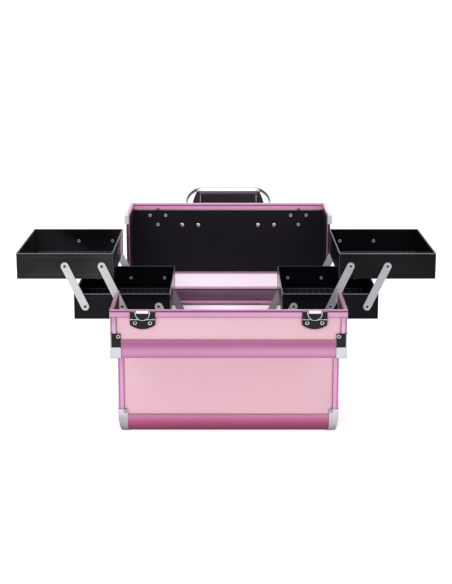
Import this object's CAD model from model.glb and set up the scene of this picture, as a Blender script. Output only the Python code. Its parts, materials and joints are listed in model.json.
"""A pink cosmetics case with two open half lids and two pairs of cantilevered trays.

The case stands on z = 0, centred in x and y. Its front faces -Y and its left is -X. Pieces are
drawn in millimetres. Lid pieces are mostly drawn closed and then swung open by a right angle,
so that each lid's free edge points up and its panel stands upright.
"""
import bpy
import bmesh
import json
import math
from mathutils import Vector, Matrix


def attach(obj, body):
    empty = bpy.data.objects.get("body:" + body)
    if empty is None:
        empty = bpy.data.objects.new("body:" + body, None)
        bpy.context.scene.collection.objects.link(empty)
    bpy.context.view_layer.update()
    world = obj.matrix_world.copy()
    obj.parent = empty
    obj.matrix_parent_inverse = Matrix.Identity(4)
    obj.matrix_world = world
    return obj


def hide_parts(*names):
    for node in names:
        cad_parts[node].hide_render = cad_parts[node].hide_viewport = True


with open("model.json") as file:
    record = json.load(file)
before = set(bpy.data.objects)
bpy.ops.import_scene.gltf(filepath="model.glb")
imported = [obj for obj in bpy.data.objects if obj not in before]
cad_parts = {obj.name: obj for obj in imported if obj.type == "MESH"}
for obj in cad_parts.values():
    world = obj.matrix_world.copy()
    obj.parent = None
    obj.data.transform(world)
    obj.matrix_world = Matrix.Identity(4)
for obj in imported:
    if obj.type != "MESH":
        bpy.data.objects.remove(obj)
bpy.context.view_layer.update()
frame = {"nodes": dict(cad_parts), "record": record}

scene = bpy.context.scene
BODY_OF = {n: b for b, ns in frame["record"]["behaviour"]["bodies"].items() for n in ns}
SLOT_OF = {s["node"]: s["material_slot"] for s in frame["record"]["subparts"]}

# ---------------------------------------------------------------- sizes of the case, in mm
MM = 0.001
HALF_W = 180.0          # half width, along x
HALF_D = 117.5          # half depth, along y
PART_Z = 157.5          # height of the parting line
LID_H = 128.0
LID_TOP = PART_Z + LID_H
HINGE_OUT = 2.6         # hinge axis outside the wall
FRONT_REACH = 76.25     # depth of the front half lid
REAR_REACH = 158.25
RAIL = 5.5              # thickness of the lid rails
CAP_OUT = 0.5           # corner caps stand proud by this much
CAP_SKIN = 1.1
CAP_X, CAP_Y = HALF_W + CAP_OUT, HALF_D + CAP_OUT

# -1 is left or front and 1 is right or rear
SIDES = (-1, 1)
LIDS = (("front_lid", -1), ("rear_lid", 1))
FREE_Y = {-1: -HALF_D + FRONT_REACH, 1: HALF_D - REAR_REACH}


def swing(end):
    """Opens a lid by a right angle about its hinge."""
    hinge = Vector((0, end * (HALF_D + HINGE_OUT), PART_Z))
    turn = Matrix.Rotation(math.radians(-90 * end), 4, "X")
    return Matrix.Translation(hinge) @ turn @ Matrix.Translation(-hinge)


OPEN = {end: swing(end) for end in SIDES}


def clamp(value):
    return max(0.0, min(1.0, value))


# ---------------------------------------------------------------- material helpers
def srgb(red, green, blue):
    """Linear RGBA of an 8-bit colour."""
    def linear(value):
        value = value / 255.0
        return value / 12.92 if value <= 0.04045 else ((value + 0.055) / 1.055) ** 2.4
    return (linear(red), linear(green), linear(blue), 1.0)


MIDDLE = (0.3, 0.7)     # the span that most of a noise's values fall in


class Shader:
    """A Principled material whose textures follow object coordinates, in metres."""

    def __init__(self, name):
        self.material = bpy.data.materials.new(name)
        self.material.use_nodes = True
        self.tree = self.material.node_tree
        self.tree.nodes.clear()
        output = self.node("OutputMaterial")
        self.principled = self.node("BsdfPrincipled")
        self.put(output.inputs[0], self.principled.outputs[0])
        self.coords = self.node("TexCoord").outputs["Object"]

    def node(self, kind, **settings):
        node = self.tree.nodes.new("ShaderNode" + kind)
        for key, value in settings.items():
            setattr(node, key, value)
        return node

    def put(self, socket, value):
        """Links a socket, or sets a plain value."""
        if hasattr(value, "is_output"):
            self.tree.links.new(value, socket)
        else:
            socket.default_value = value

    def set(self, **inputs):
        for key, value in inputs.items():
            self.put(self.principled.inputs[key.replace("_", " ")], value)

    def noise(self, scale, detail=4.0, rough=0.5, stretch=None):
        vector = self.coords
        if stretch:
            mapping = self.node("Mapping")
            self.put(mapping.inputs["Scale"], stretch)
            self.put(mapping.inputs["Vector"], vector)
            vector = mapping.outputs[0]
        texture = self.node("TexNoise")
        self.put(texture.inputs["Vector"], vector)
        self.put(texture.inputs["Scale"], scale)
        self.put(texture.inputs["Detail"], detail)
        self.put(texture.inputs["Roughness"], rough)
        return texture.outputs["Fac"]

    def cells(self, scale):
        texture = self.node("TexVoronoi", feature="F1")
        self.put(texture.inputs["Vector"], self.coords)
        self.put(texture.inputs["Scale"], scale)
        return texture.outputs["Distance"]

    def remap(self, value, span=MIDDLE, to=(0.0, 1.0), smooth=False):
        ranger = self.node("MapRange", interpolation_type="SMOOTHSTEP" if smooth else "LINEAR")
        self.put(ranger.inputs["Value"], value)
        for key, number in zip(("From Min", "From Max", "To Min", "To Max"), (*span, *to)):
            self.put(ranger.inputs[key], number)
        return ranger.outputs["Result"]

    def combine(self, operation, first, second):
        node = self.node("Math", operation=operation)
        self.put(node.inputs[0], first)
        self.put(node.inputs[1], second)
        return node.outputs[0]

    def mix(self, factor, first, second, blend="MIX"):
        node = self.node("Mix", data_type="RGBA", blend_type=blend)
        self.put(node.inputs["Factor"], factor)
        self.put(node.inputs[6], first)
        self.put(node.inputs[7], second)
        return node.outputs[2]

    def tint(self, value, first, second, span=MIDDLE, to=(0.0, 1.0), smooth=False):
        """From the first colour to the second as a value crosses a span."""
        return self.mix(self.remap(value, span, to, smooth), first, second)

    def multiply(self, color, rgb):
        return self.mix(1.0, color, (*rgb, 1), blend="MULTIPLY")

    def split(self, vector):
        node = self.node("SeparateXYZ")
        self.put(node.inputs[0], vector)
        return node.outputs

    def position(self):
        return self.split(self.coords)

    def facing_up(self):
        return self.split(self.node("NewGeometry").outputs["Normal"])[2]

    def painted_dark(self):
        """The darkness stored on the mesh's vertices."""
        return self.node("Attribute", attribute_name="dark").outputs["Fac"]

    def crevice(self, color, reach, shade):
        """Darkens a colour in tight recesses."""
        occlusion = self.node("AmbientOcclusion", samples=6)
        self.put(occlusion.inputs["Distance"], reach)
        dark = self.multiply(color, shade)
        return self.tint(occlusion.outputs["AO"], dark, color, span=(0.35, 0.95))

    def bump(self, height, strength, distance):
        node = self.node("Bump")
        self.put(node.inputs["Strength"], strength)
        self.put(node.inputs["Distance"], distance)
        self.put(node.inputs["Height"], height)
        self.set(Normal=node.outputs[0])


# ---------------------------------------------------------------- materials
def laminate():
    mat = Shader("laminate_pale_pink")
    cloud = mat.noise(scale=3.2, detail=2.0, rough=0.4)
    grain = mat.noise(scale=900.0, detail=3.0, rough=0.6)
    fleck = mat.noise(scale=2600.0, detail=2.0)
    color = mat.tint(cloud, srgb(221, 178, 192), srgb(225, 186, 195), span=(0.35, 0.65))
    # the sheets are a touch paler towards the parting line
    height = mat.position()[2]
    color = mat.tint(height, color, srgb(236, 203, 211), span=(0.05, 0.155), to=(0.0, 0.55))
    color = mat.tint(height, color, srgb(216, 175, 185), span=(0.155, 0.17))
    color = mat.tint(grain, color, srgb(214, 160, 178), to=(0.0, 0.08))
    color = mat.tint(fleck, color, srgb(236, 206, 214), span=(0.62, 0.75), to=(0.0, 0.15))
    color = mat.crevice(color, reach=0.0035, shade=(0.62, 0.42, 0.52))
    mat.set(Base_Color=color, Roughness=mat.remap(grain, to=(0.34, 0.46)),
            Specular_IOR_Level=0.35)
    mat.bump(grain, strength=0.05, distance=0.0003)
    return mat.material


def anodised(name, first, second, mid=(166, 98, 138), deep=(90, 44, 66), glow=0.0, lit=0.55):
    """Pink metal; mid and deep colour the painted-dark parts, lit brightens upward faces."""
    mat = Shader(name)
    streak = mat.noise(scale=420.0, detail=3.0, rough=0.6, stretch=(0.004, 1.0, 1.0))
    cloud = mat.noise(scale=5.0, detail=2.0)
    color = mat.tint(cloud, srgb(*first), srgb(*second))
    color = mat.tint(streak, color, srgb(180, 110, 152), to=(0.0, 0.10))
    upward = mat.facing_up()
    shaded = mat.multiply(color, (0.30, 0.18, 0.25))
    color = mat.tint(upward, shaded, color, span=(-0.95, -0.25), smooth=True)
    color = mat.tint(upward, color, srgb(244, 206, 230), span=(0.5, 0.95), to=(0.0, lit),
                     smooth=True)
    dark = mat.painted_dark()
    color = mat.tint(dark, color, srgb(*mid), span=(0.0, 0.5))
    color = mat.tint(dark, color, srgb(*deep), span=(0.5, 1.0))
    color = mat.crevice(color, reach=0.0035, shade=(0.42, 0.22, 0.34))
    mat.set(Base_Color=color, Metallic=0.35, Roughness=mat.remap(streak, to=(0.28, 0.36)),
            Coat_Weight=0.15, Coat_Roughness=0.15)
    if glow:
        mat.set(Emission_Color=color, Emission_Strength=glow)
    mat.bump(streak, strength=0.03, distance=0.0001)
    return mat.material


def pale_lining():
    mat = Shader("lining_light_pink")
    grain = mat.cells(scale=1400.0)
    cloud = mat.noise(scale=6.0, detail=2.0)
    color = mat.tint(cloud, srgb(248, 226, 240), srgb(252, 234, 246))
    color = mat.tint(grain, color, srgb(214, 180, 200), span=(0.0, 0.6), to=(0.10, 0.0))
    mat.set(Base_Color=color, Roughness=0.62, Emission_Color=color, Emission_Strength=0.345)
    mat.bump(grain, strength=0.15, distance=0.0003)
    return mat.material


def dark_lining(name, first, second):
    mat = Shader(name)
    cloud = mat.noise(scale=9.0, detail=3.0)
    streak = mat.noise(scale=300.0, detail=3.0, rough=0.6, stretch=(0.03, 1.0, 1.0))
    color = mat.tint(cloud, srgb(*first), srgb(*second))
    color = mat.tint(streak, color, srgb(60, 34, 50), span=(0.35, 0.65), to=(0.0, 0.2))
    mat.set(Base_Color=color, Roughness=0.45, Specular_IOR_Level=0.2)
    mat.bump(streak, strength=0.05, distance=0.0002)
    return mat.material


def foam(name, first, second):
    mat = Shader(name)
    grain = mat.cells(scale=900.0)
    fine = mat.noise(scale=1800.0, detail=3.0)
    cloud = mat.noise(scale=5.0, detail=3.0)
    color = mat.tint(cloud, srgb(*first), srgb(*second))
    color = mat.tint(grain, color, srgb(12, 12, 15), span=(0.0, 0.5), to=(0.35, 0.0))
    mat.set(Base_Color=color, Roughness=mat.remap(fine, to=(0.62, 0.8)),
            Specular_IOR_Level=0.18)
    mat.bump(grain, strength=0.25, distance=0.0004)
    return mat.material


def chrome(name, base, rough):
    mat = Shader(name)
    smear = mat.noise(scale=60.0, rough=0.6)
    pit = mat.noise(scale=1500.0, detail=2.0)
    duller = (base[0] * 0.88, base[1] * 0.88, base[2] * 0.9, 1)
    color = mat.tint(smear, duller, (*base, 1))
    shaded = mat.multiply(color, (0.16, 0.14, 0.17))
    color = mat.tint(mat.facing_up(), shaded, color, span=(-0.9, 0.1), smooth=True)
    color = mat.mix(mat.painted_dark(), color, (0.012, 0.011, 0.013, 1))
    color = mat.crevice(color, reach=0.003, shade=(0.18, 0.16, 0.2))
    mat.set(Base_Color=color, Metallic=1.0,
            Roughness=mat.remap(smear, to=(rough, rough + 0.08)))
    mat.bump(pit, strength=0.03, distance=0.0001)
    return mat.material


def tray_sheen(mat, color, specular):
    """Soft reflections on the left, weaker ones on the right and in the lower trays."""
    across, _, height = mat.position()
    soft = mat.noise(scale=9.0, detail=1.0, rough=0.3, stretch=(1.0, 0.2, 1.6))
    leftward = mat.remap(across, span=(0.02, 0.12), to=(1.0, 0.1), smooth=True)
    patches = mat.remap(soft, span=(0.46, 0.6), to=(0.0, 0.75))
    color = mat.mix(mat.combine("MULTIPLY", leftward, patches), color, srgb(46, 46, 48))
    tier_gap = (0.236, 0.25)    # heights between the lower and the upper trays
    width = (0.0, 0.1)
    upper = mat.remap(height, span=tier_gap)
    lower = mat.remap(height, span=tier_gap, to=(1.0, 0.0))
    color = mat.mix(upper, srgb(16, 15, 20), color)
    upper_specular = mat.remap(across, span=width, to=(specular, 0.062))
    lower_specular = mat.remap(across, span=width, to=(0.085, 0.05))
    specular = mat.combine("ADD", mat.combine("MULTIPLY", upper, upper_specular),
                           mat.combine("MULTIPLY", lower, lower_specular))
    return color, specular


def lacquer(name, first, second, rough, specular, sheen=False):
    mat = Shader(name)
    cloud = mat.noise(scale=12.0, detail=3.0)
    dust = mat.noise(scale=2200.0, detail=2.0)
    color = mat.tint(cloud, srgb(*first), srgb(*second))
    color = mat.tint(dust, color, srgb(60, 58, 66), span=(0.66, 0.8), to=(0.0, 0.25))
    if sheen:
        color, specular = tray_sheen(mat, color, specular)
    mat.set(Base_Color=color, Roughness=mat.remap(cloud, to=(rough, rough + 0.06)),
            Specular_IOR_Level=specular, Coat_Weight=0.0, Coat_Roughness=0.04)
    mat.bump(mat.noise(scale=35.0, detail=2.0), strength=0.02, distance=0.0001)
    return mat.material


def aluminium():
    mat = Shader("arm_aluminium_satin")
    streak = mat.noise(scale=260.0, rough=0.65, stretch=(1.0, 0.15, 1.0))
    cloud = mat.noise(scale=18.0, detail=2.0)
    color = mat.tint(cloud, srgb(200, 202, 201), srgb(212, 214, 212))
    color = mat.tint(streak, color, srgb(176, 175, 181), to=(0.0, 0.18))
    # the rear bars and the right-hand ones stand in softer light
    across, depth, height = mat.position()
    rear = mat.remap(depth, span=(0.0, 0.05))
    low = mat.remap(height, span=(0.19, 0.25), to=(0.82, 0.0))
    color = mat.mix(mat.combine("MULTIPLY", rear, low), color, srgb(96, 98, 106))
    color = mat.tint(across, color, srgb(150, 150, 156), span=(0.0, 0.1), to=(0.0, 0.70))
    high_glow = mat.remap(height, span=(0.2, 0.235), to=(0.0, 0.34))
    mat.set(Base_Color=color, Metallic=0.2, Roughness=mat.remap(streak, to=(0.42, 0.56)),
            Specular_IOR_Level=0.3, Emission_Color=color,
            Emission_Strength=mat.combine("MULTIPLY", rear, high_glow))
    mat.bump(streak, strength=0.06, distance=0.0002)
    return mat.material


def satin_ring():
    mat = Shader("rolled_ring_satin")
    pit = mat.noise(scale=1300.0, detail=2.0)
    color = mat.tint(pit, srgb(196, 196, 200), srgb(214, 214, 218))
    mat.set(Base_Color=color, Metallic=0.3, Roughness=mat.remap(pit, to=(0.3, 0.42)),
            Emission_Color=color, Emission_Strength=0.1)
    return mat.material


def satin_clip():
    mat = Shader("clip_satin_steel")
    smear = mat.noise(scale=90.0, detail=3.0, rough=0.6, stretch=(1.0, 1.0, 0.2))
    color = mat.tint(smear, srgb(202, 205, 208), srgb(226, 228, 230))
    color = mat.crevice(color, reach=0.002, shade=(0.5, 0.48, 0.52))
    mat.set(Base_Color=color, Metallic=0.15, Roughness=mat.remap(smear, to=(0.26, 0.38)),
            Specular_IOR_Level=0.5, Emission_Color=color, Emission_Strength=0.22)
    return mat.material


def soft_grip():
    mat = Shader("grip_black_soft")
    leather = mat.cells(scale=700.0)
    fine = mat.noise(scale=1500.0, detail=3.0)
    color = mat.tint(leather, srgb(24, 22, 25), srgb(34, 31, 35), span=(0.0, 0.6))
    mat.set(Base_Color=color, Roughness=mat.remap(fine, to=(0.5, 0.66)),
            Specular_IOR_Level=0.3)
    mat.bump(leather, strength=0.3, distance=0.0004)
    return mat.material


def dark_hole():
    mat = Shader("hole_dark")
    speckle = mat.noise(scale=800.0, detail=2.0)
    mat.set(Base_Color=mat.mix(speckle, srgb(14, 13, 15), srgb(30, 28, 32)), Roughness=0.55)
    return mat.material


# anodised, linings and foam: name, then two 8-bit tones that are clouded together
# chrome: name, linear base colour; lacquer: name, two 8-bit tones
MATS = {
    "panel": laminate(),
    "rail": anodised("anodised_pink_rail", (196, 138, 177), (205, 148, 185)),
    "rail_lit": anodised("anodised_pink_bright", (226, 164, 204), (232, 170, 208), glow=0.16),
    "leg": anodised("anodised_pink_leg", (172, 117, 143), (180, 125, 151), lit=0.14),
    "post_body": anodised("anodised_pink_body_post", (210, 152, 194), (216, 158, 198)),
    "line": anodised("rail_pressed_line", (150, 104, 132), (158, 112, 140)),
    "seam": anodised("rail_seam_shadow", (104, 58, 84), (116, 66, 92)),
    "hinge": anodised("anodised_pink_hinge", (156, 100, 134), (166, 110, 142)),
    "post": anodised("anodised_pink_post", (200, 162, 188), (206, 168, 192)),
    "foot": anodised("anodised_pink_foot", (192, 134, 166), (197, 138, 170),
                     mid=(164, 70, 116), deep=(106, 34, 62)),
    "lining": pale_lining(),
    "plum": dark_lining("lining_dark_gloss", (100, 66, 86), (114, 78, 100)),
    "maroon": dark_lining("lining_maroon", (52, 30, 40), (64, 38, 50)),
    "foam": foam("lining_black_foam", (20, 19, 24), (27, 25, 31)),
    "foam_side": foam("lining_black_side", (9, 8, 11), (13, 12, 15)),
    "cap": chrome("corner_plate_bright", (0.60, 0.59, 0.625), rough=0.2),
    "lidcap": chrome("corner_plate_lid", (0.55, 0.565, 0.60), rough=0.2),
    "chrome": chrome("chrome_bright", (0.80, 0.79, 0.81), rough=0.1),
    "darkchrome": chrome("chrome_in_shade", (0.17, 0.12, 0.155), rough=0.16),
    "shadechrome": chrome("chrome_deep_shade", (0.055, 0.04, 0.05), rough=0.2),
    "foldgrey": chrome("plate_fold_grey", (0.34, 0.31, 0.33), rough=0.3),
    "steel": chrome("steel_heads", (0.74, 0.73, 0.75), rough=0.18),
    "black": lacquer("lacquer_black", (10, 10, 12), (16, 15, 18), rough=0.14, specular=0.2),
    "tray": lacquer("tray_gloss_black", (13, 13, 15), (17, 17, 19), rough=0.10, specular=0.17,
                    sheen=True),
    "traygrey": lacquer("tray_edge_worn", (112, 112, 116), (132, 132, 136), rough=0.3,
                        specular=0.4),
    "traycorner": lacquer("tray_corner_worn", (62, 62, 66), (76, 76, 80), rough=0.3,
                          specular=0.4),
    "mat": lacquer("tray_mat_ribbed", (20, 22, 31), (26, 28, 40), rough=0.4, specular=0.3),
    "matrib": lacquer("tray_mat_rib_tops", (84, 87, 98), (98, 101, 112), rough=0.4,
                      specular=0.4),
    "alu": aluminium(),
    "clip": satin_clip(),
    "ring": satin_ring(),
    "grip": soft_grip(),
    "dark": dark_hole(),
}


# ---------------------------------------------------------------- object helpers
def add_object(name, data):
    obj = bpy.data.objects.new(name, data)
    scene.collection.objects.link(obj)
    return obj


def build(name, mesh, mats, body, slot, node=None, bevel=0.0, segments=2, angle=35.0,
          opening=None, recalc=True, flat=False):
    """Turns a bmesh in mm into an object riding on a body, in place of a CAD node if given."""
    if opening is not None:
        mesh.transform(opening)
    if recalc:
        bmesh.ops.recalc_face_normals(mesh, faces=mesh.faces)
    mesh.transform(Matrix.Scale(MM, 4))
    for face in mesh.faces:
        face.smooth = not flat
    if not bevel:
        for edge in mesh.edges:
            if len(edge.link_faces) == 2:
                edge.smooth = edge.calc_face_angle(0.0) < math.radians(angle)
    data = bpy.data.meshes.new(name)
    mesh.to_mesh(data)
    mesh.free()
    for key in mats:
        data.materials.append(MATS[key])
    obj = add_object(name, data)
    if bevel:
        modifier = obj.modifiers.new("edges", "BEVEL")
        modifier.width = bevel * MM
        modifier.segments = segments
        modifier.limit_method = "ANGLE"
        modifier.angle_limit = math.radians(angle)
        modifier.harden_normals = True
    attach(obj, body)
    if node:
        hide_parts(node)


def stand_in(node, mesh, mats, body, slot=None, **look):
    """Builds the piece shown in place of a CAD node."""
    build(node + "_vis", mesh, mats, body, slot or SLOT_OF[node], node, **look)


def refine(node, mats, bevel, segments=2, angle=35.0, pick=None):
    """A cleaned, bevelled copy of a CAD node; pick chooses a face's material."""
    mesh = bmesh.new()
    mesh.from_mesh(frame["nodes"][node].data)
    bmesh.ops.remove_doubles(mesh, verts=mesh.verts, dist=3e-6)
    bmesh.ops.dissolve_limit(mesh, angle_limit=math.radians(0.4), verts=mesh.verts,
                             edges=mesh.edges)
    mesh.transform(Matrix.Scale(1000.0, 4))
    for face in mesh.faces:
        face.material_index = 0
    if pick:
        mesh.normal_update()
        for face in mesh.faces:
            face.material_index = pick(face.calc_center_median(), face.normal)
    stand_in(node, mesh, mats, BODY_OF[node], bevel=bevel, segments=segments, angle=angle,
             recalc=False)


# ---------------------------------------------------------------- shapes added to a bmesh
def lathe(mesh, profile, centre, axis, steps=24, mat=0):
    """Turns (radius, height) points about an axis. mat is an index, or one for each band."""
    axis = Vector(axis).normalized()
    first = axis.orthogonal().normalized()
    second = axis.cross(first)
    centre = Vector(centre)
    rings = []
    for radius, height in profile:
        if radius < 1e-6:
            rings.append([mesh.verts.new(centre + axis * height)])
            continue
        ring = []
        for k in range(steps):
            turn = 2 * math.pi * k / steps
            spoke = first * math.cos(turn) + second * math.sin(turn)
            ring.append(mesh.verts.new(centre + axis * height + spoke * radius))
        rings.append(ring)
    for i, (low, high) in enumerate(zip(rings, rings[1:])):
        for k in range(steps):
            k2 = (k + 1) % steps
            if len(low) == 1:
                face = mesh.faces.new((low[0], high[k], high[k2]))
            elif len(high) == 1:
                face = mesh.faces.new((low[k], high[0], low[k2]))
            else:
                face = mesh.faces.new((low[k], high[k], high[k2], low[k2]))
            face.material_index = mat[i] if isinstance(mat, list) else mat


def rod(mesh, radius, length, centre, axis, steps, mat=0):
    lathe(mesh, [(0, 0), (radius, 0), (radius, length), (0, length)], centre, axis, steps, mat)


def ring_rivet(mesh, centre, axis, radius, height, hole, metal=0):
    """A rolled ring round a hollow. The hollow is material 1."""
    crest = (radius + hole) / 2
    wall = radius - hole
    profile = [(0, -0.3), (radius * 0.97, -0.3), (radius, 0.15 * height),
               (radius * 0.98, 0.5 * height), (radius * 0.92, 0.8 * height),
               (crest + 0.1 * wall, height), (crest - 0.2 * wall, 0.9 * height),
               (hole, 0.5 * height), (hole * 0.95, 0.0), (hole * 0.5, -0.15), (0, -0.18)]
    lathe(mesh, profile, centre, axis, 28, [metal] * 7 + [1] * 3)


def dome(mesh, centre, axis, radius, height, steps=28):
    profile = [(0, -0.3), (radius, -0.3), (radius, 0.18 * height)]
    for k in range(1, 6):
        rise = k / 6.0 * math.pi / 2
        profile.append((radius * math.cos(rise), 0.18 * height + 0.82 * height * math.sin(rise)))
    lathe(mesh, profile + [(0, height)], centre, axis, steps)


def extrude(mesh, outline, place, length, mat=0):
    """Lifts a closed outline of (a, b) by place(a, b, run) for run = 0 to length.

    Returns the vertices of both ends and the walls, wall i starting at outline point i.
    """
    near = [mesh.verts.new(place(a, b, 0.0)) for a, b in outline]
    far = [mesh.verts.new(place(a, b, length)) for a, b in outline]
    ends = [mesh.faces.new(near), mesh.faces.new(list(reversed(far)))]
    walls = []
    for i in range(len(outline)):
        j = (i + 1) % len(outline)
        walls.append(mesh.faces.new((near[i], far[i], far[j], near[j])))
    for face in ends + walls:
        face.material_index = mat
    return near, far, walls


def box(mesh, xs, ys, zs, mat=0):
    """A box between two x, two y and two z, each pair in either order."""
    (x0, x1), (y0, y1), (z0, z1) = sorted(xs), sorted(ys), sorted(zs)
    extrude(mesh, [(x0, y0), (x1, y0), (x1, y1), (x0, y1)],
            lambda x, y, rise: (x, y, z0 + rise), z1 - z0, mat)


def rectangle(mesh, x0, x1, y0, y1, z):
    corners = ((x0, y0), (x1, y0), (x1, y1), (x0, y1))
    return [mesh.verts.new((x, y, z)) for x, y in corners]


def sweep(mesh, path, half_width, half_height):
    """An elliptic wire along a path that lies level."""
    steps = 10
    up = Vector((0, 0, 1))
    turns = [2 * math.pi * k / steps for k in range(steps)]
    rings = []
    for i, point in enumerate(path):
        along = (path[min(i + 1, len(path) - 1)] - path[max(i - 1, 0)]).normalized()
        across = along.cross(up).normalized()
        rings.append([mesh.verts.new(point + across * (half_width * math.cos(turn))
                                     + up * (half_height * math.sin(turn))) for turn in turns])
    join_rings(mesh, rings)


def join_rings(mesh, rings):
    """Walls between closed rings, and a face on each end."""
    count = len(rings[0])
    for low, high in zip(rings, rings[1:]):
        for k in range(count):
            k2 = (k + 1) % count
            mesh.faces.new((low[k], low[k2], high[k2], high[k]))
    mesh.faces.new(rings[0])
    mesh.faces.new(list(reversed(rings[-1])))


def skin(mesh, grid, mat=lambda i, k: 0):
    """Faces over a grid of vertices; mat gives the material by row and column."""
    for i in range(len(grid) - 1):
        for k in range(len(grid[0]) - 1):
            face = mesh.faces.new((grid[i][k], grid[i][k + 1], grid[i + 1][k + 1],
                                   grid[i + 1][k]))
            face.material_index = mat(i, k)


# ---------------------------------------------------------------- body of the case
POST_Z = (37.8, 147.3)              # foot and top of the corner posts' pressed lines
LINER_X, LINER_Y = 174.4, 111.9     # half sizes of the body lining
LINER_SKIN = 0.6
LINER_Z = (7.0, 147.3)

refine("floor_panel", ["panel"], bevel=0.4)
for node in ("front_panel", "rear_panel", "side_panels"):
    refine(node, ["panel"], bevel=0.35)
refine("corner_posts", ["post_body"], bevel=0.5, angle=60)


def pressed_lines(mesh, side, end, face, strips, zs):
    """Fine upright lines on a face at distance face from the middle; strips are pairs of x."""
    for inner, outer in strips:
        box(mesh, (side * outer, side * inner), (end * (face - 0.05), end * (face + 0.08)), zs)


mesh = bmesh.new()
for side in SIDES:
    for end in SIDES:
        pressed_lines(mesh, side, end, HALF_D, ((177.5, 178.5), (170.0, 170.7)), POST_Z)
build("post_lines", mesh, ["line"], "case_body", "pink_rail")

mesh = bmesh.new()
for side in SIDES:
    pressed_lines(mesh, side, -1, HALF_D + HINGE_OUT + LID_H,
                  ((177.2, 178.5), (170.0, 171.0)), (189.5, 224.2))
build("front_lid_lines", mesh, ["line"], "front_lid", "pink_rail")
refine("rim_rails", ["rail"], bevel=0.7, segments=3, angle=50)

# bottom rails: curving inwards below FOOT_Z, (inset from the wall, z)
FOOT_Z = 28.0
FOOT_CURVE = [(4.0 * (k / 12.0) ** 2.2, FOOT_Z - (FOOT_Z - 2.5) * (k / 12.0)) for k in range(13)]
FOOT_SECTION = FOOT_CURVE + [
    (4.2, 1.2), (4.9, 0.25), (18.0, 0.25), (18.0, 4.0), (5.6, 4.0), (5.0, FOOT_Z)]
FOOT_HALF_X, FOOT_HALF_Y = HALF_W - 15.4, HALF_D - 16.8


def bottom_rails():
    mesh = bmesh.new()
    dark = mesh.verts.layers.float.new("dark")
    for side in SIDES:
        runs = (
            (lambda inset, z, run: (-FOOT_HALF_X + run, side * (HALF_D - inset), z), FOOT_HALF_X),
            (lambda inset, z, run: (side * (HALF_W - inset), -FOOT_HALF_Y + run, z), FOOT_HALF_Y))
        for place, half in runs:
            near, far, _ = extrude(mesh, FOOT_SECTION, place, 2 * half)
            for vert in near + far:
                # darker towards the floor
                vert[dark] = 0.10 + 0.90 * clamp((FOOT_Z - vert.co.z) / 27.0) ** 1.15
    stand_in("bottom_rails", mesh, ["foot"], "case_body", "pink_rail", bevel=0.3, angle=50)


def body_liner():
    """An open-topped thin box, with an upright strip above the front and rear walls."""
    mesh = bmesh.new()
    inner_x, inner_y = LINER_X - LINER_SKIN, LINER_Y - LINER_SKIN
    floor_z, top_z = LINER_Z
    outer_low = rectangle(mesh, -LINER_X, LINER_X, -LINER_Y, LINER_Y, floor_z)
    outer_top = rectangle(mesh, -LINER_X, LINER_X, -LINER_Y, LINER_Y, top_z)
    inner_top = rectangle(mesh, -inner_x, inner_x, -inner_y, inner_y, top_z)
    inner_low = rectangle(mesh, -inner_x, inner_x, -inner_y, inner_y, floor_z + LINER_SKIN)
    mesh.faces.new(list(reversed(outer_low)))
    mesh.faces.new(inner_low)
    loops = (outer_low, outer_top, inner_top, inner_low)
    for k in range(4):
        j = (k + 1) % 4
        for lower, upper in zip(loops, loops[1:]):
            mesh.faces.new((lower[k], lower[j], upper[j], upper[k]))
    for end in SIDES:
        box(mesh, (-168.0, 168.0), (end * (LINER_Y - 0.2), end * (LINER_Y - 0.8)),
            (100.0, 156.2))
    stand_in("body_liner", mesh, ["lining"], "case_body", "body_lining", angle=30,
             recalc=False)


bottom_rails()
body_liner()

# ---------------------------------------------------------------- bottom corner caps
CAP_LEG_X, CAP_LEG_Y = 15.8, 17.0   # reach of a cap's legs along the front and the side
CAP_R = 6.0
CAP_FLARE = 3.0                     # the legs grow by this much at the floor
CAP_LEVELS = (37.2, 36.4, 30.0, 22.0, 17.0, 13.0, 10.0, 7.5, 5.5, 3.8, 2.4, 1.2, 0.8, 0.4,
              0.1, 0.0)


def cap_plan(inset, radius, flare):
    """Plan outline from the end of the x leg round the corner to the end of the y leg."""
    x1, y1 = CAP_X - inset, CAP_Y - inset
    leg_x, leg_y = CAP_X - CAP_LEG_X - flare, CAP_Y - CAP_LEG_Y - flare
    points = [(leg_x + part * (x1 - radius - leg_x), y1) for part in (0.0, 0.35, 0.7)]
    for k in range(11):
        turn = math.radians(90 * k / 10.0)
        points.append((x1 - radius + radius * math.sin(turn),
                       y1 - radius + radius * math.cos(turn)))
    return points + [(x1, leg_y + part * (y1 - radius - leg_y)) for part in (0.7, 0.35, 0.0)]


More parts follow.
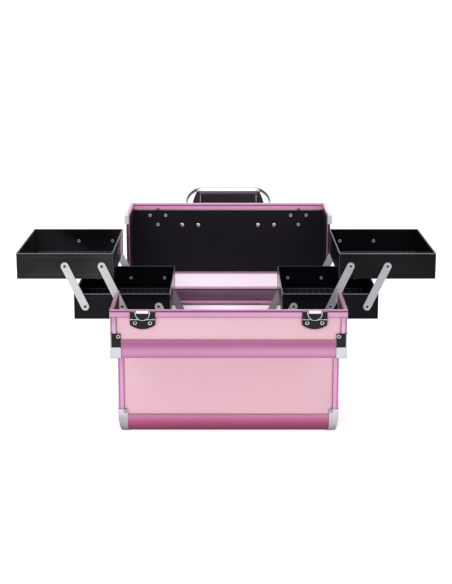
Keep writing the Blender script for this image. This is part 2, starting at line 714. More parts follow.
def body_cap(mesh, dark, side, end):
    """A pressed corner whose three skins follow the rounded rails."""
    outer, inner = [], []
    for z in CAP_LEVELS:
        inset = 3.9 * clamp((FOOT_Z - z) / FOOT_Z) ** 2.2
        if z < 0.8:
            inset += 0.7 * ((0.8 - z) / 0.8) ** 2
        flare = CAP_FLARE * clamp((9.0 - z) / 9.0) ** 1.5
        inner_z = z if z > 2.4 else CAP_SKIN + 0.02 * z
        for grid, depth, level in ((outer, 0.0, z), (inner, CAP_SKIN, inner_z)):
            grid.append([mesh.verts.new((side * x, end * y, level))
                         for x, y in cap_plan(inset + depth, CAP_R - depth, flare)])
        # the left caps are darker, and all darken towards the floor
        shade = (0.26 if side < 0 else 0.08) * clamp((29.0 - z) / 6.0)
        shade += 0.36 * clamp((12.0 - z) / 12.0) ** 1.2
        for vert in outer[-1] + inner[-1]:
            vert[dark] = shade
    skin(mesh, outer)
    skin(mesh, inner)
    last = len(outer[0]) - 1
    for k in range(last):
        mesh.faces.new((outer[0][k], outer[0][k + 1], inner[0][k + 1], inner[0][k]))
    for i in range(len(outer) - 1):
        for k in (0, last):
            mesh.faces.new((outer[i][k], outer[i + 1][k], inner[i + 1][k], inner[i][k]))
    # the bottom skin
    x, y = CAP_X - CAP_LEG_X - CAP_FLARE, CAP_Y - CAP_LEG_Y - CAP_FLARE
    low = mesh.verts.new((side * x, end * y, 0.0))
    high = mesh.verts.new((side * x, end * y, CAP_SKIN))
    for k in range(last):
        mesh.faces.new((outer[-1][k], outer[-1][k + 1], low))
        mesh.faces.new((inner[-1][k], inner[-1][k + 1], high))
    for k in (0, last):
        mesh.faces.new((outer[-1][k], low, high, inner[-1][k]))


mesh = bmesh.new()
dark = mesh.verts.layers.float.new("dark")
for side in SIDES:
    for end in SIDES:
        body_cap(mesh, dark, side, end)
stand_in("bottom_corner_caps", mesh, ["cap"], "case_body", "corner_chrome", angle=50)

mesh = bmesh.new()
for side in SIDES:
    for end in SIDES:
        ring_rivet(mesh, (side * 168.0, end * CAP_Y, 34.2), (0, end, 0), radius=3.1,
                   height=1.2, hole=2.15)
stand_in("bottom_cap_screws", mesh, ["steel", "dark"], "case_body")

# ---------------------------------------------------------------- half lids, drawn closed
LEG = 29.0              # reach of the rounded rail down the wall and along the top
BULGE = 0.6
NOSE_R = 1.4
BULLNOSE_INSET = 16.8   # from the lid's side to the bullnose rail's end

# the flat board across the rail's inside corner: (inwards from the wall, down from the top)
SLOPE_START = (LEG, 5.7)
SLOPE_ALONG = (-0.4440, 0.8960)
SLOPE_OUT = (0.8960, 0.4440)
SLOPE_LENGTH = 50.0

# darkness of the bullnose rail: (reach from the outer corner, darkness)
NOSE_SHADES = [(0, 0.62), (1.5, 0.56), (3, 0.46), (5, 0.32), (7, 0.24), (9.8, 0.18),
               (12.4, 0.22), (15.7, 0.36), (19, 0.52), (21.5, 0.64), (28.4, 0.60), (29, 0.4)]

# free edge rail: (from the free edge towards the hinge, down from the top)
FREE_EDGE_SECTION = [
    (0.9, 0.0), (0.3, 0.3), (0.0, 0.9), (0.0, 4.4), (0.6, 5.0), (3.6, 5.0), (3.9, 4.2),
    (4.9, 4.2), (5.2, 5.0), (12.0, 5.0), (12.0, 0.55), (10.9, 0.55), (10.5, 0.0), (4.0, 0.0),
    (3.7, 0.5), (1.7, 0.5), (1.4, 0.0)]
FREE_EDGE_SEAMS = (5, 6, 7, 11, 14, 15, 16)     # walls of that section shown as seams

RIM_Z = (PART_Z + 0.3, PART_Z + 10.0)
# grooved side leg of the rim: (inset from the side, z)
RIM_SECTION = [
    (RAIL, RIM_Z[1]), (RAIL, RIM_Z[0] + 0.3), (5.2, RIM_Z[0]), (4.3, RIM_Z[0]),
    (4.1, RIM_Z[0] + 1.8), (1.5, RIM_Z[0] + 1.8), (1.3, RIM_Z[0]), (0.4, RIM_Z[0]),
    (0.0, RIM_Z[0] + 0.4), (0.0, RIM_Z[1])]
RIM_GROOVE = (3, 4, 5)
RIM_LIP = 2.2           # the outer strip of the rim at the hinge


def lid_profile():
    """The rounded rail from the hinge wall up to the corner and along the top:
    (inwards from the wall, down from the top)."""
    nose = BULGE + NOSE_R
    leg = [(BULGE * (k / 10) ** 2.4, LEG - (LEG - nose) * (k / 10)) for k in range(11)]
    corner = []
    for k in range(1, 6):
        turn = math.radians(90.0 * k / 6.0)
        corner.append((BULGE + NOSE_R * (1 - math.cos(turn)), nose - NOSE_R * math.sin(turn)))
    return leg + corner + [(down, inward) for inward, down in reversed(leg)]


def lid_point(end, inward, down, x):
    return Vector((x, end * (HALF_D - inward), LID_TOP - down))


def slope_point(along, out=0.0):
    return tuple(start + run * along + normal * out
                 for start, run, normal in zip(SLOPE_START, SLOPE_ALONG, SLOPE_OUT))


def nose_shade(inward, down):
    """Dark at the outer corner and beside the flat panel, bright in between."""
    reach = max(inward, down)
    for (r0, v0), (r1, v1) in zip(NOSE_SHADES, NOSE_SHADES[1:]):
        if reach <= r1:
            return v0 + (v1 - v0) * (reach - r0) / (r1 - r0)


def bullnose(lid, end):
    mesh = bmesh.new()
    dark = mesh.verts.layers.float.new("dark")
    profile = lid_profile()
    inside = [SLOPE_START, slope_point(0.5, 0.5), slope_point(6.4, 0.5), slope_point(6.8),
              slope_point(SLOPE_LENGTH - 5.8), slope_point(SLOPE_LENGTH - 5.4, 0.5),
              slope_point(SLOPE_LENGTH - 0.6, 0.5), (6.9, 51.0), (5.6, 51.6), (5.6, LEG)]
    near, far, walls = extrude(
        mesh, profile + inside,
        lambda inward, down, run: lid_point(end, inward, down, -HALF_W + BULLNOSE_INSET + run),
        2 * HALF_W - 2 * BULLNOSE_INSET)
    for verts in (near, far):
        for vert, point in zip(verts, profile):
            vert[dark] = nose_shade(*point)
    # the sloping inside face is lined like the body
    walls[len(profile) + 3].material_index = 1
    walls[len(profile) + 7].material_index = 2
    stand_in(lid + "_bullnose_rail", mesh, ["rail", "lining", "maroon"], lid, "pink_rail",
             bevel=0.3, angle=40, opening=OPEN[end])


def slope_ends(lid, end):
    """Short lining boards close the slope beside the corner plates."""
    mesh = bmesh.new()
    board = [slope_point(0.4), slope_point(SLOPE_LENGTH - 0.2),
             slope_point(SLOPE_LENGTH - 0.2, -1.5), slope_point(0.4, -1.5)]
    outer, inner = 174.3, HALF_W - 16.75
    for x0 in (-outer, inner):
        extrude(mesh, board,
                lambda inward, down, run: lid_point(end, inward, down, x0 + run), outer - inner)
    build(lid + "_slope_ends", mesh, ["lining"], lid, "body_lining", bevel=0.3, angle=40,
          opening=OPEN[end])


PLATE = 17.0            # width of a lid cap along the lid
PLATE_R = 2.6           # its rounding onto the lid's side
PLATE_END = 39.4


def lid_caps(lid, end):
    mesh = bmesh.new()
    profile = [(0.0, PLATE_END), (0.0, 38.4), (0.0, 33.0)] + lid_profile()
    profile += [(33.0, 0.0), (38.4, 0.0), (PLATE_END, 0.0)]
    # columns: (x, turn inwards down the lid's side)
    columns = [(CAP_X - PLATE + k * (PLATE - PLATE_R) / 4.0, 0.0) for k in range(5)]
    for k in range(1, 7):
        turn = math.radians(90.0 * k / 6)
        columns.append((CAP_X - PLATE_R + PLATE_R * math.sin(turn),
                        PLATE_R * (1 - math.cos(turn))))
    columns += [(CAP_X, inset) for inset in (8.5, 11.5, 14.5, 16.8)]

    def moved(value, inset, shift, is_edge):
        """A profile coordinate drawn in round the corner and shifted to its layer."""
        if value < LEG:
            value = (value ** 2.6 + inset ** 2.6) ** (1.0 / 2.6)
        elif is_edge and value == PLATE_END:
            value -= 2.2    # round the plate's free corners
        return value + (shift if value < 29.5 else 0.0)

    def on_top(i, k):
        """The flat part of the plate on the lid's top is lacquered dark."""
        middle = (profile[k][0] + profile[k + 1][0]) / 2
        return int(middle > 18.0 and columns[i + 1][1] == 0.0)

    for side in SIDES:
        grids = []
        for depth in (0.0, CAP_SKIN):
            shift = depth - CAP_OUT
            grid = []
            for i, (x, inset) in enumerate(columns):
                layer_x = x - depth * max(0.0, x - (CAP_X - PLATE_R)) / PLATE_R
                grid.append([mesh.verts.new(lid_point(
                    end, moved(inward, inset, shift, i == 0), moved(down, inset, shift, i == 0),
                    side * layer_x)) for inward, down in profile])
            grids.append(grid)
        outer, inner = grids
        skin(mesh, outer, on_top)
        skin(mesh, inner)
        last_i, last_k = len(columns) - 1, len(profile) - 1
        for i in range(last_i):
            for k in (0, last_k):
                mesh.faces.new((outer[i][k], outer[i + 1][k], inner[i + 1][k], inner[i][k]))
        for k in range(last_k):
            for i in (0, last_i):
                mesh.faces.new((outer[i][k], outer[i][k + 1], inner[i][k + 1], inner[i][k]))
    bmesh.ops.remove_doubles(mesh, verts=mesh.verts, dist=1e-4)
    stand_in(lid + "_corner_caps", mesh, ["lidcap", "black"], lid, "corner_chrome", angle=50,
             opening=OPEN[end])


def free_edge(lid, end):
    """The rail across a lid's free edge, with fine seams, and the two uprights."""
    mesh = bmesh.new()
    free_y = FREE_Y[end]
    _, _, walls = extrude(
        mesh, FREE_EDGE_SECTION,
        lambda back, down, run: (-HALF_W + run, free_y + end * back, LID_TOP - down), 2 * HALF_W)
    for i in FREE_EDGE_SEAMS:
        walls[i].material_index = 1
    for side in SIDES:
        box(mesh, (side * (HALF_W - RAIL), side * HALF_W), (free_y, free_y + end * RAIL),
            (PART_Z + 10.0, LID_TOP - 5.0), 2)
    mats = ["rail", "seam", "leg"] if end < 0 else ["rail_lit", "seam", "rail_lit"]
    stand_in(lid + "_free_edge_rails", mesh, mats, lid, "pink_rail", bevel=0.45, angle=50,
             opening=OPEN[end])


def rim(lid, end, reach):
    """Parting rails of a lid: side legs grooved along the parting face and a leg at the hinge."""
    mesh = bmesh.new()
    y0, y1 = sorted((end * (HALF_D - RAIL), end * (HALF_D - reach)))
    for side in SIDES:
        _, _, walls = extrude(
            mesh, RIM_SECTION,
            lambda inset, z, run: (side * (HALF_W - inset), y0 + run, z), y1 - y0)
        for i in RIM_GROOVE:
            walls[i].material_index = 1
    low, high = RIM_Z
    lip_y = end * (HALF_D - RIM_LIP)
    box(mesh, (-HALF_W, HALF_W), (end * HALF_D, lip_y), (low, high), 2)
    box(mesh, (-HALF_W, HALF_W), (lip_y, end * (HALF_D - RAIL)), (low + 0.4, high), 1)
    stand_in(lid + "_rim_rails", mesh, ["rail", "plum", "rail_lit"], lid, "pink_rail",
             bevel=0.3, angle=50, opening=OPEN[end])


for lid, end in LIDS:
    front = end < 0
    rim(lid, end, FRONT_REACH if front else REAR_REACH - 16.0)
    free_edge(lid, end)
    # the inside of an open lid's hinge wall faces up
    refine(lid + "_hinge_wall", ["panel", "plum"], bevel=0.35,
           pick=lambda centre, normal: int(normal.z > 0.7))
    # the side walls' inner faces look towards x = 0
    refine(lid + "_side_walls", ["panel", "maroon" if front else "foam_side"], bevel=0.35,
           pick=lambda centre, normal: int(normal.x * centre.x < -0.7 * abs(centre.x)))
    refine(lid + "_corner_rails", ["post" if front else "rail"], bevel=0.5, angle=60)
    bullnose(lid, end)
    slope_ends(lid, end)
    lid_caps(lid, end)

refine("front_lid_panel", ["panel", "plum"], bevel=0.35,
       pick=lambda centre, normal: int(normal.y > 0.7))
refine("rear_lid_panel", ["panel"], bevel=0.3)

# drawn open: the rear lid's lining and the bent clips on its free corners
mesh = bmesh.new()
box(mesh, (-174.38, 174.38), (241.3, 242.5), (190.1, 305.3))
stand_in("rear_lid_liner", mesh, ["foam"], "rear_lid", "black_lining", bevel=0.35, angle=40)

# (y, z): a flat leg down the parting face and a leaning leg over the free edge
CLIP_OUTLINE = [(120.2, 300.6), (131.0, 300.6), (131.0, 318.9), (134.5, 318.9),
                (134.5, 320.2), (130.0, 321.2), (123.6, 319.8), (120.2, 316.4)]
CLIP_X = (175.8, 182.9)
mesh = bmesh.new()
for side in SIDES:
    x0, x1 = sorted(side * x for x in CLIP_X)
    extrude(mesh, CLIP_OUTLINE, lambda y, z, run: (x0 + run, y, z), x1 - x0)
stand_in("rear_lid_corner_clips", mesh, ["clip"], "rear_lid", bevel=0.7, segments=3, angle=40)

for part in ("body", "lid"):
    for place in ("front", "rear"):
        refine("%s_hinge_%s_leaf" % (place, part), ["hinge"], bevel=0.2, angle=60)
refine("hinge_pins", ["steel"], bevel=0.2, angle=60)


def cap_screw(mesh, end, side):
    ring_rivet(mesh, lid_point(end, 34.9, -CAP_OUT, side * 167.2), (0, 0, 1), radius=3.2,
               height=1.1, hole=1.7)


mesh = bmesh.new()
for side in SIDES:
    cap_screw(mesh, 1, side)
stand_in("rear_lid_cap_screws", mesh, ["steel", "dark"], "rear_lid", opening=OPEN[1])

# ---------------------------------------------------------------- latches on the front lid
LATCH_X = 130.0                     # middle of a latch
PLATE_Y = FREE_Y[-1] - 1.5          # the base plate's edge beside the free edge
LATCH_PLATE_HALF = 19.0
LATCH_PLATE_DEPTH = 21.5
PIN_Y = FREE_Y[-1] - 15.6           # the lever's pivot line
LEVER_Y = PIN_Y + 11.4              # the lever's top bar
WIRE_Z = LID_TOP + 4.2              # the lever's rolled edge

# left half of the lever's shield: (half width, y from the top bar)
LEVER_HALF = [(11.2, 2.8), (10.9, 0.0), (10.5, -2.4), (9.7, -4.7), (8.4, -6.9), (6.5, -8.8),
              (4.3, -10.2), (2.1, -10.8), (0.0, -11.0)]

# the hook's tongue: (y from the pivot line, z above the lid)
HOOK_SECTION = [(11.5, 4.3), (13.6, 4.3), (14.0, 2.1), (15.3, 2.1), (15.6, 4.9), (15.0, 5.8),
                (11.5, 5.6)]


def latch_plates():
    mesh = bmesh.new()
    for side in SIDES:
        middle = side * LATCH_X
        left, right = middle - LATCH_PLATE_HALF, middle + LATCH_PLATE_HALF
        outline = [(left, PLATE_Y)]
        for k in range(15):
            outline.append((left + 2 * LATCH_PLATE_HALF * k / 14.0, PLATE_Y - LATCH_PLATE_DEPTH
                            - 6.6 * math.sin(math.pi * k / 14.0) ** 0.85))
        outline.append((right, PLATE_Y))
        extrude(mesh, outline, lambda x, y, rise: (x, y, LID_TOP + 0.05 + rise), 1.5)
        # ears of the lever's pin
        for ear in SIDES:
            x = middle + ear * 12.6
            box(mesh, (x - 1.0, x + 1.0), (PIN_Y - 1.2, PIN_Y + 2.8),
                (LID_TOP + 1.0, LID_TOP + 3.9))
        # the plate's folded upper edge
        box(mesh, (left + 0.1, right - 0.1), (PLATE_Y - 1.0, PLATE_Y + 0.1),
            (LID_TOP + 0.1, LID_TOP + 2.1), 1)
    stand_in("latch_base_plates", mesh, ["black", "foldgrey"], "front_lid", "latch_black",
             bevel=0.35, angle=50, opening=OPEN[-1])


def front_lid_fasteners():
    mesh = bmesh.new()
    for side in SIDES:
        for ear in SIDES:
            ring_rivet(mesh, (side * LATCH_X + ear * 11.4, PLATE_Y - 18.3, LID_TOP + 1.55),
                       (0, 0, 1), radius=3.3, height=1.1, hole=1.8)
        cap_screw(mesh, -1, side)
    stand_in("front_lid_fasteners", mesh, ["steel", "dark"], "front_lid", opening=OPEN[-1])


def latch_lever(node, middle):
    """A shield with a bright rolled edge and a black face."""
    mesh = bmesh.new()
    outline = [(middle - half, LEVER_Y + y) for half, y in LEVER_HALF]
    outline += [(middle + half, LEVER_Y + y) for half, y in reversed(LEVER_HALF[:-1])]
    shrink = 0.96
    extrude(mesh, outline,
            lambda x, y, rise: (middle + (x - middle) * shrink,
                                LEVER_Y + (y - LEVER_Y) * shrink, LID_TOP + 2.6 + rise), 1.9, 1)
    sweep(mesh, [Vector((x, y, WIRE_Z)) for x, y in outline], half_width=0.62, half_height=0.7)
    # the top bar between the arms of the shield
    sweep(mesh, [Vector((middle + side * 10.9, LEVER_Y, WIRE_Z)) for side in SIDES],
          half_width=0.7, half_height=0.7)
    rod(mesh, 0.85, 37.0, (middle - 18.5, PIN_Y + 1.5, LID_TOP + 3.1), (1, 0, 0), steps=16)
    stand_in(node, mesh, ["chrome", "black"], node, opening=OPEN[-1], angle=40)


def latch_hook(node, middle):
    """A bright tongue with a rolled lip, wider at its lip than at its root."""
    mesh = bmesh.new()
    extrude(mesh, HOOK_SECTION,
            lambda y, z, run: (middle + (run - 0.5) * (18.0 + 1.6 * (y - 11.9) / 3.6),
                               PIN_Y + y, LID_TOP + z), 1.0)
    rod(mesh, 0.8, 18.6, (middle - 9.3, PIN_Y + 12.0, LID_TOP + 4.4), (1, 0, 0), steps=14)
    stand_in(node, mesh, ["chrome"], node, bevel=0.25, angle=40, opening=OPEN[-1])


latch_plates()
front_lid_fasteners()
for tag, side in (("left", -1), ("right", 1)):
    latch_lever("latch_lever_" + tag, side * LATCH_X)
    latch_hook("latch_hook_" + tag, side * LATCH_X)

# ---------------------------------------------------------------- catches and rivets
refine("latch_catches", ["black"], bevel=0.35)
mesh = bmesh.new()
for side in SIDES:
    lathe(mesh, [(0, 0), (3.0, 0), (3.0, 1.4), (2.2, 2.0), (0, 2.2)],
          (side * LATCH_X, FREE_Y[1] + 12.6, LID_TOP - 4.6), (0, 0, -1))
build("catch_lips", mesh, ["seam"], "rear_lid", "pink_rail", opening=OPEN[1])

mesh = bmesh.new()
for z in (214.0, 222.0):
    dome(mesh, (174.5, -150.0, z), (-1, 0, 0), radius=2.0, height=0.9, steps=20)
build("front_lid_wall_rivets", mesh, ["steel"], "front_lid", "screw_steel")

HANDLE_X = 70.3         # middle of a handle foot
# rivets of a catch: (x from its middle, y from the free edge)
CATCH_RIVETS = ((-14.35, 22.3), (14.35, 22.3), (0, 39.7))


def rear_lid_rivets():
    """Each rivet shows a head inside and outside the lid."""
    mesh = bmesh.new()
    inside, outside = (0, 0, -1), (0, 0, 1)
    for side in SIDES:
        for from_middle, from_edge in CATCH_RIVETS:
            x, y = side * LATCH_X + from_middle, FREE_Y[1] + from_edge
            ring_rivet(mesh, (x, y, LID_TOP - 6.9), inside, radius=2.9, height=1.1, hole=1.45,
                       metal=2)
            ring_rivet(mesh, (x, y, LID_TOP + 1.45), outside, radius=2.6, height=0.9, hole=1.1,
                       metal=2)
    for side in SIDES:
        for offset in (-14.9, 14.9):
            x = side * (HANDLE_X + offset)
            dome(mesh, (x, 0.0, LID_TOP - 6.85), inside, radius=4.0, height=1.9)
            dome(mesh, (x, 0.0, LID_TOP + 0.82), outside, radius=3.4, height=1.2)
    stand_in("rear_lid_rivets", mesh, ["steel", "dark", "ring"], "rear_lid", opening=OPEN[1])


rear_lid_rivets()

# ---------------------------------------------------------------- handle on the rear lid
BOW_DEPTH = 67.7
BOW_Z = LID_TOP + 8.5
# left half of the strap: (x, y, half width)
BOW_HALF = [(-77.4, 0.0, 2.4), (-77.7, -20.0, 2.3), (-77.8, -34.0, 2.2), (-77.2, -41.0, 2.1),
            (-75.8, -46.5, 2.1), (-73.2, -51.5, 2.1), (-69.4, -56.0, 2.2), (-64.8, -59.8, 2.4),
            (-59.6, -62.6, 2.7), (-54.0, -64.2, 3.1), (-48.0, -64.5, 3.2)]
# dark strut from the foot to the grip: (distance from x = 0, y)
STRUT = [(52.2, -BOW_DEPTH + 6.0), (57.0, -BOW_DEPTH + 6.2), (60.4, -BOW_DEPTH + 12.0),
         (63.6, -BOW_DEPTH + 20.0), (65.6, -BOW_DEPTH + 27.0), (69.0, -30.0), (73.4, -14.0),
         (71.0, -8.0), (60.0, -BOW_DEPTH + 36.0), (52.2, -BOW_DEPTH + 31.0)]


def bow_shade(x, y):
    """The bends turn away from the light."""
    if abs(x) < 53:
        return 0.0
    if abs(x) < 58:
        return 0.45
    if y < -50.0:
        return 0.72
    return 0.42 if y < -44.0 else 0.12


def handle_bow():
    """A bright strap with a leaning face, its pivots, a dark channel and dark struts."""
    mesh = bmesh.new()
    dark = mesh.verts.layers.float.new("dark")
    up = Vector((0, 0, 1))
    path = BOW_HALF + [(-x, y, half) for x, y, half in reversed(BOW_HALF)]
    rings = []
    for i, (x, y, half) in enumerate(path):
        x0, y0, _ = path[max(i - 1, 0)]
        x1, y1, _ = path[min(i + 1, len(path) - 1)]
        across = Vector((x1 - x0, y1 - y0, 0)).normalized().cross(up)
        # (across the strap, up)
        section = [(-half, -4.0), (-half + 0.7, -4.2), (half - 1.0, 1.6), (half - 0.3, 2.8),
                   (half, 3.8), (half - 0.6, 4.2), (-half + 0.3, 4.2), (-half, 3.4)]
        rings.append([mesh.verts.new(Vector((x, y, BOW_Z)) + across * out + up * rise)
                      for out, rise in section])
        for vert in rings[-1]:
            vert[dark] = bow_shade(x, y)
    join_rings(mesh, rings)
    for side in SIDES:
        x = side * HANDLE_X
        box(mesh, (x - 7.0, x + 7.0), (-12.0, -1.0), (BOW_Z - 4.0, BOW_Z + 4.0))
        rod(mesh, 4.0, 14.0, (x - 7.0, 0, BOW_Z), (1, 0, 0), steps=28)
        rod(mesh, 2.0, 21.6, (x - 10.8, 0, BOW_Z), (1, 0, 0), steps=20)
    box(mesh, (-54.0, 54.0), (-BOW_DEPTH + 5.8, -BOW_DEPTH + 12.0),
        (BOW_Z - 3.4, BOW_Z + 3.4), 1)
    for side in SIDES:
        extrude(mesh, STRUT, lambda x, y, rise: (side * x, y, BOW_Z - 2.8 + rise), 5.6, 2)
    stand_in("handle_bow", mesh, ["chrome", "darkchrome", "shadechrome"], "handle",
             bevel=0.35, angle=50, opening=OPEN[1])


refine("handle_feet", ["chrome"], bevel=0.5, segments=3, angle=50)
handle_bow()
refine("handle_grip", ["grip"], bevel=0.8, segments=3, angle=40)
# bright ferrules at the grip's ends, drawn open
mesh = bmesh.new()
for side in SIDES:
    box(mesh, (side * 51.0, side * 52.3), (249.0, 264.2), (315.6, 332.8))
build("handle_ferrules", mesh, ["chrome"], "handle", "handle_chrome", bevel=0.5, angle=40)

# ---------------------------------------------------------------- trays
BASE_X, BASE_Z = 136.6, 141.5       # outer base pivot of the arms
ARM = 73.4                          # arm length from one tier's pivot to the next
LEAN = math.radians(25.3)           # arms lean outwards from upright
ARM_DX, ARM_DZ = ARM * math.sin(LEAN), ARM * math.cos(LEAN)
PIVOT_GAP = 59.2                    # between neighbouring pivots of a tier
SHIFT_X = -3.7                      # the whole linkage sits a little to the left
PIVOT_UP = 21.4                     # pivots above a tray's underside
TRAY_W, TRAY_D, TRAY_H = 154.4, 213.0, 41.8
TRAY_WALL, TRAY_FLOOR = 2.0, 1.7

# raised line on the trays' outer faces
LINE_IN_X, LINE_IN_Z = 9.0, 6.2     # margins from the face's edges
LINE_W, LINE_H = 1.2, 0.28

MAT_GAP = 1.2                       # between the mat and the walls
RIB_PITCH = 10.4                    # smallest spacing of the mat's ribs


def pivot(side, level, shift=0.0):
    """(x, z) of a pivot; level 0 is on the case, 1 the lower tray and 2 the upper."""
    return side * (BASE_X + shift + level * ARM_DX) + SHIFT_X, BASE_Z + level * ARM_DZ


def framed_face(mesh, corners, normal):
    """An outer face with a fine raised line set in from its edges. corners run round."""
    start, right, _, top = [vert.co.copy() for vert in corners]
    across, up = (right - start).normalized(), (top - start).normalized()
    width, height = (right - start).length, (top - start).length
    loops = [corners]
    for step, raised in ((0.0, 0), (LINE_W * 0.5, LINE_H), (LINE_W, 0)):
        a, b = LINE_IN_X + step, LINE_IN_Z + step
        loops.append([mesh.verts.new(start + across * u + up * v + normal * raised)
                      for u, v in ((a, b), (width - a, b), (width - a, height - b),
                                   (a, height - b))])
    for outer, inner in zip(loops, loops[1:]):
        for k in range(4):
            j = (k + 1) % 4
            mesh.faces.new((outer[k], outer[j], inner[j], inner[k]))
    mesh.faces.new(loops[-1])


def tray_shell(node, x0, x1, y0, y1, z0, z1):
    mesh = bmesh.new()
    inner = (x0 + TRAY_WALL, x1 - TRAY_WALL, y0 + TRAY_WALL, y1 - TRAY_WALL)
    low = rectangle(mesh, x0, x1, y0, y1, z0)
    high = rectangle(mesh, x0, x1, y0, y1, z1)
    inner_high = rectangle(mesh, *inner, z1)
    inner_low = rectangle(mesh, *inner, z0 + TRAY_FLOOR)
    mesh.faces.new(list(reversed(low)))
    normals = ((0, -1, 0), (1, 0, 0), (0, 1, 0), (-1, 0, 0))
    for k in range(4):
        j = (k + 1) % 4
        framed_face(mesh, [low[k], low[j], high[j], high[k]], Vector(normals[k]))
        mesh.faces.new((high[k], high[j], inner_high[j], inner_high[k]))
        mesh.faces.new((inner_high[k], inner_high[j], inner_low[j], inner_low[k]))
    mesh.faces.new(inner_low)
    stand_in(node, mesh, ["tray"], BODY_OF[node], "tray_black", bevel=0.5, angle=60, flat=True)


def tray_edges(node, x0, x1, y0, y1, z0, z1):
    """The rim and the upright corners are rubbed lighter."""
    mesh = bmesh.new()
    rim_half, corner_half = 0.42, 0.3
    for xa, xb, ya, yb in ((x0, x1, y0, y0), (x0, x1, y1, y1), (x0, x0, y0, y1),
                           (x1, x1, y0, y1)):
        box(mesh, (xa - rim_half, xb + rim_half), (ya - rim_half, yb + rim_half),
            (z1 - 0.75, z1 + 0.25))
    for x in (x0, x1):
        for y in (y0, y1):
            box(mesh, (x - corner_half, x + corner_half), (y - corner_half, y + corner_half),
                (z0 + 0.3, z1 - 0.8), 1)
    build(node + "_edges", mesh, ["traygrey", "traycorner"], BODY_OF[node], "tray_black")


def tray_mat(node, x0, x1, y0, y1, floor_z):
    """A ribbed mat on the tray's floor, with a cross rib at the rear."""
    mesh = bmesh.new()
    margin = TRAY_WALL + MAT_GAP
    x0, x1, y0, y1 = x0 + margin, x1 - margin, y0 + margin, y1 - margin
    count = int((x1 - x0) / RIB_PITCH)
    pitch = (x1 - x0) / count
    box(mesh, (x0, x1), (y0, y1), (floor_z, floor_z + 0.5))
    for k in range(count):
        x = x0 + (k + 0.5) * pitch
        box(mesh, (x - 0.45, x + 0.45), (y0 + 1.5, y1 - 3.0), (floor_z + 0.3, floor_z + 1.0), 1)
    box(mesh, (x0, x1), (y1 - 1.6, y1 + 0.2), (floor_z + 0.3, floor_z + 1.3), 1)
    build(node + "_mat", mesh, ["mat", "matrib"], BODY_OF[node], "tray_black", bevel=0.12,
          angle=30)


def tray(node, side, level):
    middle, pivot_z = pivot(side, level, PIVOT_GAP if level == 2 else 0.0)
    plan = (middle - TRAY_W / 2, middle + TRAY_W / 2, -TRAY_D / 2, TRAY_D / 2)
    z0 = pivot_z - PIVOT_UP
    tray_shell(node, *plan, z0, z0 + TRAY_H)
    tray_edges(node, *plan, z0, z0 + TRAY_H)
    tray_mat(node, *plan, z0 + TRAY_FLOOR + 0.02)


for tag, side in (("left", -1), ("right", 1)):
    tray("tray_lower_" + tag, side, 1)
    tray("tray_upper_" + tag, side, 2)
    for arms in ("arms_long_", "arms_lower_short_", "arms_upper_short_"):
        refine(arms + tag, ["alu"], bevel=0.45, segments=3, angle=50)

ARM_Y = TRAY_D / 2 + 2.1            # the arms' plane beside the tray walls


def pin_set(node, points, on_tray, body):
    """Rivets at (x, z): heads outside the arms, and rolled rings inside the trays' walls."""
    mesh = bmesh.new()
    for x, z in points:
        for end in SIDES:
            ring_rivet(mesh, (x, end * (ARM_Y + 2.0), z), (0, end, 0), radius=3.6, height=0.9,
                       hole=2.5)
            rod(mesh, 1.9, 3.6, (x, end * (ARM_Y + 1.5), z), (0, -end, 0), steps=18, mat=1)
            if on_tray:
                ring_rivet(mesh, (x, end * (TRAY_D / 2 - TRAY_WALL), z), (0, -end, 0),
                           radius=2.6, height=0.9, hole=1.55)
            else:
                rod(mesh, 2.6, 1.0, (x, end * (ARM_Y - 0.1), z), (0, -end, 0), steps=18)
    stand_in(node, mesh, ["ring" if on_tray else "steel", "dark"], body)


for tag, side in (("left", -1), ("right", 1)):
    for tier, level, shifts in (("lower", 1, (-PIVOT_GAP, 0.0, PIVOT_GAP)),
                                ("upper", 2, (0.0, PIVOT_GAP))):
        node = "tray_pins_%s_%s" % (tier, tag)
        pin_set(node, [pivot(side, level, shift) for shift in shifts], True, BODY_OF[node])
pin_set("arm_base_pins", [pivot(side, 0, shift) for side in SIDES
                          for shift in (0.0, -PIVOT_GAP)], False, "case_body")

# ---------------------------------------------------------------- CAD nodes still shown
SLOT_MATS = {
    "pale_pink_panel": "panel", "pink_rail": "rail", "body_lining": "lining",
    "black_lining": "foam", "corner_chrome": "cap", "screw_steel": "steel",
    "hinge_metal": "hinge", "latch_black": "black", "latch_chrome": "chrome",
    "handle_chrome": "chrome", "grip_black": "grip", "tray_black": "tray",
    "arm_aluminium": "alu", "pin_steel": "steel"}
for node, obj in frame["nodes"].items():
    if not obj.hide_render:
        obj.data.materials.clear()
        obj.data.materials.append(MATS[SLOT_MATS[SLOT_OF[node]]])


# ---------------------------------------------------------------- floor, light and camera, in m
def floor():
    mat = Shader("floor_pale")
    cloud = mat.noise(scale=3.0, detail=2.0)
    mat.set(Base_Color=mat.mix(cloud, (0.93, 0.93, 0.935, 1), (0.96, 0.96, 0.965, 1)),
            Roughness=0.7, Specular_IOR_Level=0.1, Emission_Color=(1, 1, 1, 1),
            Emission_Strength=0.55)
    mesh = bmesh.new()
    mesh.faces.new(rectangle(mesh, -6, 6, -6, 9, -0.0003))
    data = bpy.data.meshes.new("floor")
    mesh.to_mesh(data)
    mesh.free()
    data.materials.append(mat.material)
    add_object("floor", data)


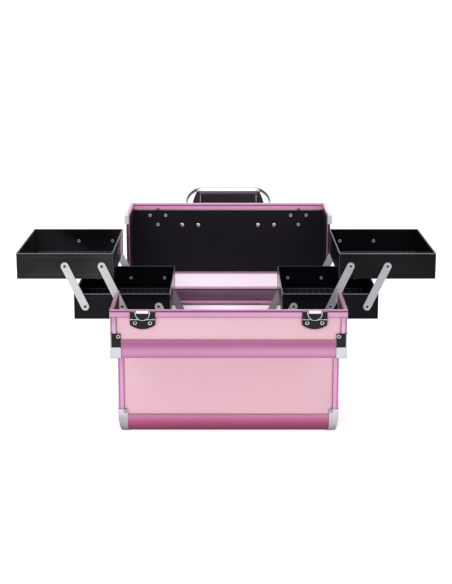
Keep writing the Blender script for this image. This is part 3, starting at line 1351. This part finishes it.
def studio_world():
    """One brightness lights the case and another is seen by the camera."""
    world = bpy.data.worlds.new("studio")
    scene.world = world
    world.use_nodes = True
    nodes, links = world.node_tree.nodes, world.node_tree.links
    nodes.clear()
    output = nodes.new("ShaderNodeOutputWorld")
    mixer = nodes.new("ShaderNodeMixShader")
    rays = nodes.new("ShaderNodeLightPath")
    links.new(rays.outputs["Is Camera Ray"], mixer.inputs[0])
    lighting, backdrop = ((0.98, 0.98, 1.0, 1), 0.52), ((1, 1, 1, 1), 1.05)
    for i, (color, strength) in enumerate((lighting, backdrop)):
        background = nodes.new("ShaderNodeBackground")
        background.inputs[0].default_value = color
        background.inputs[1].default_value = strength
        links.new(background.outputs[0], mixer.inputs[i + 1])
    links.new(mixer.outputs[0], output.inputs[0])


def area_light(name, place, target, size, power):
    light = bpy.data.lights.new(name, "AREA")
    light.shape = "RECTANGLE"
    light.size, light.size_y = size
    light.energy = power
    light.color = (1, 1, 1)
    obj = add_object(name, light)
    obj.location = place
    aim = Vector(target) - Vector(place)
    obj.rotation_euler = aim.to_track_quat("-Z", "Y").to_euler()
    obj.visible_camera = False


def camera():
    data = bpy.data.cameras.new("camera")
    data.lens = 83.22
    data.sensor_width = 36.0
    data.sensor_fit = "AUTO"
    data.clip_start, data.clip_end = 0.05, 60.0
    obj = add_object("camera", data)
    obj.location = (-0.004, -2.2233, 0.7250)
    looking_down = 13.13    # degrees below level
    obj.rotation_euler = (math.radians(90.0 - looking_down), 0, 0)
    scene.camera = obj


floor()
studio_world()
area_light("key", (-1.1, -1.9, 2.1), target=(0, 0, 0.15), size=(1.6, 1.2), power=21.5)
area_light("fill", (1.3, -2.1, 1.1), target=(0, 0, 0.15), size=(1.4, 1.2), power=10)
area_light("top", (0, 0.2, 2.6), target=(0, 0, 0.1), size=(2.2, 1.6), power=13.5)
area_light("rim", (0.6, 2.2, 1.4), target=(0, 0, 0.2), size=(1.6, 1.0), power=8.5)
camera()
scene.view_settings.view_transform = "Standard"
scene.view_settings.look = "None"
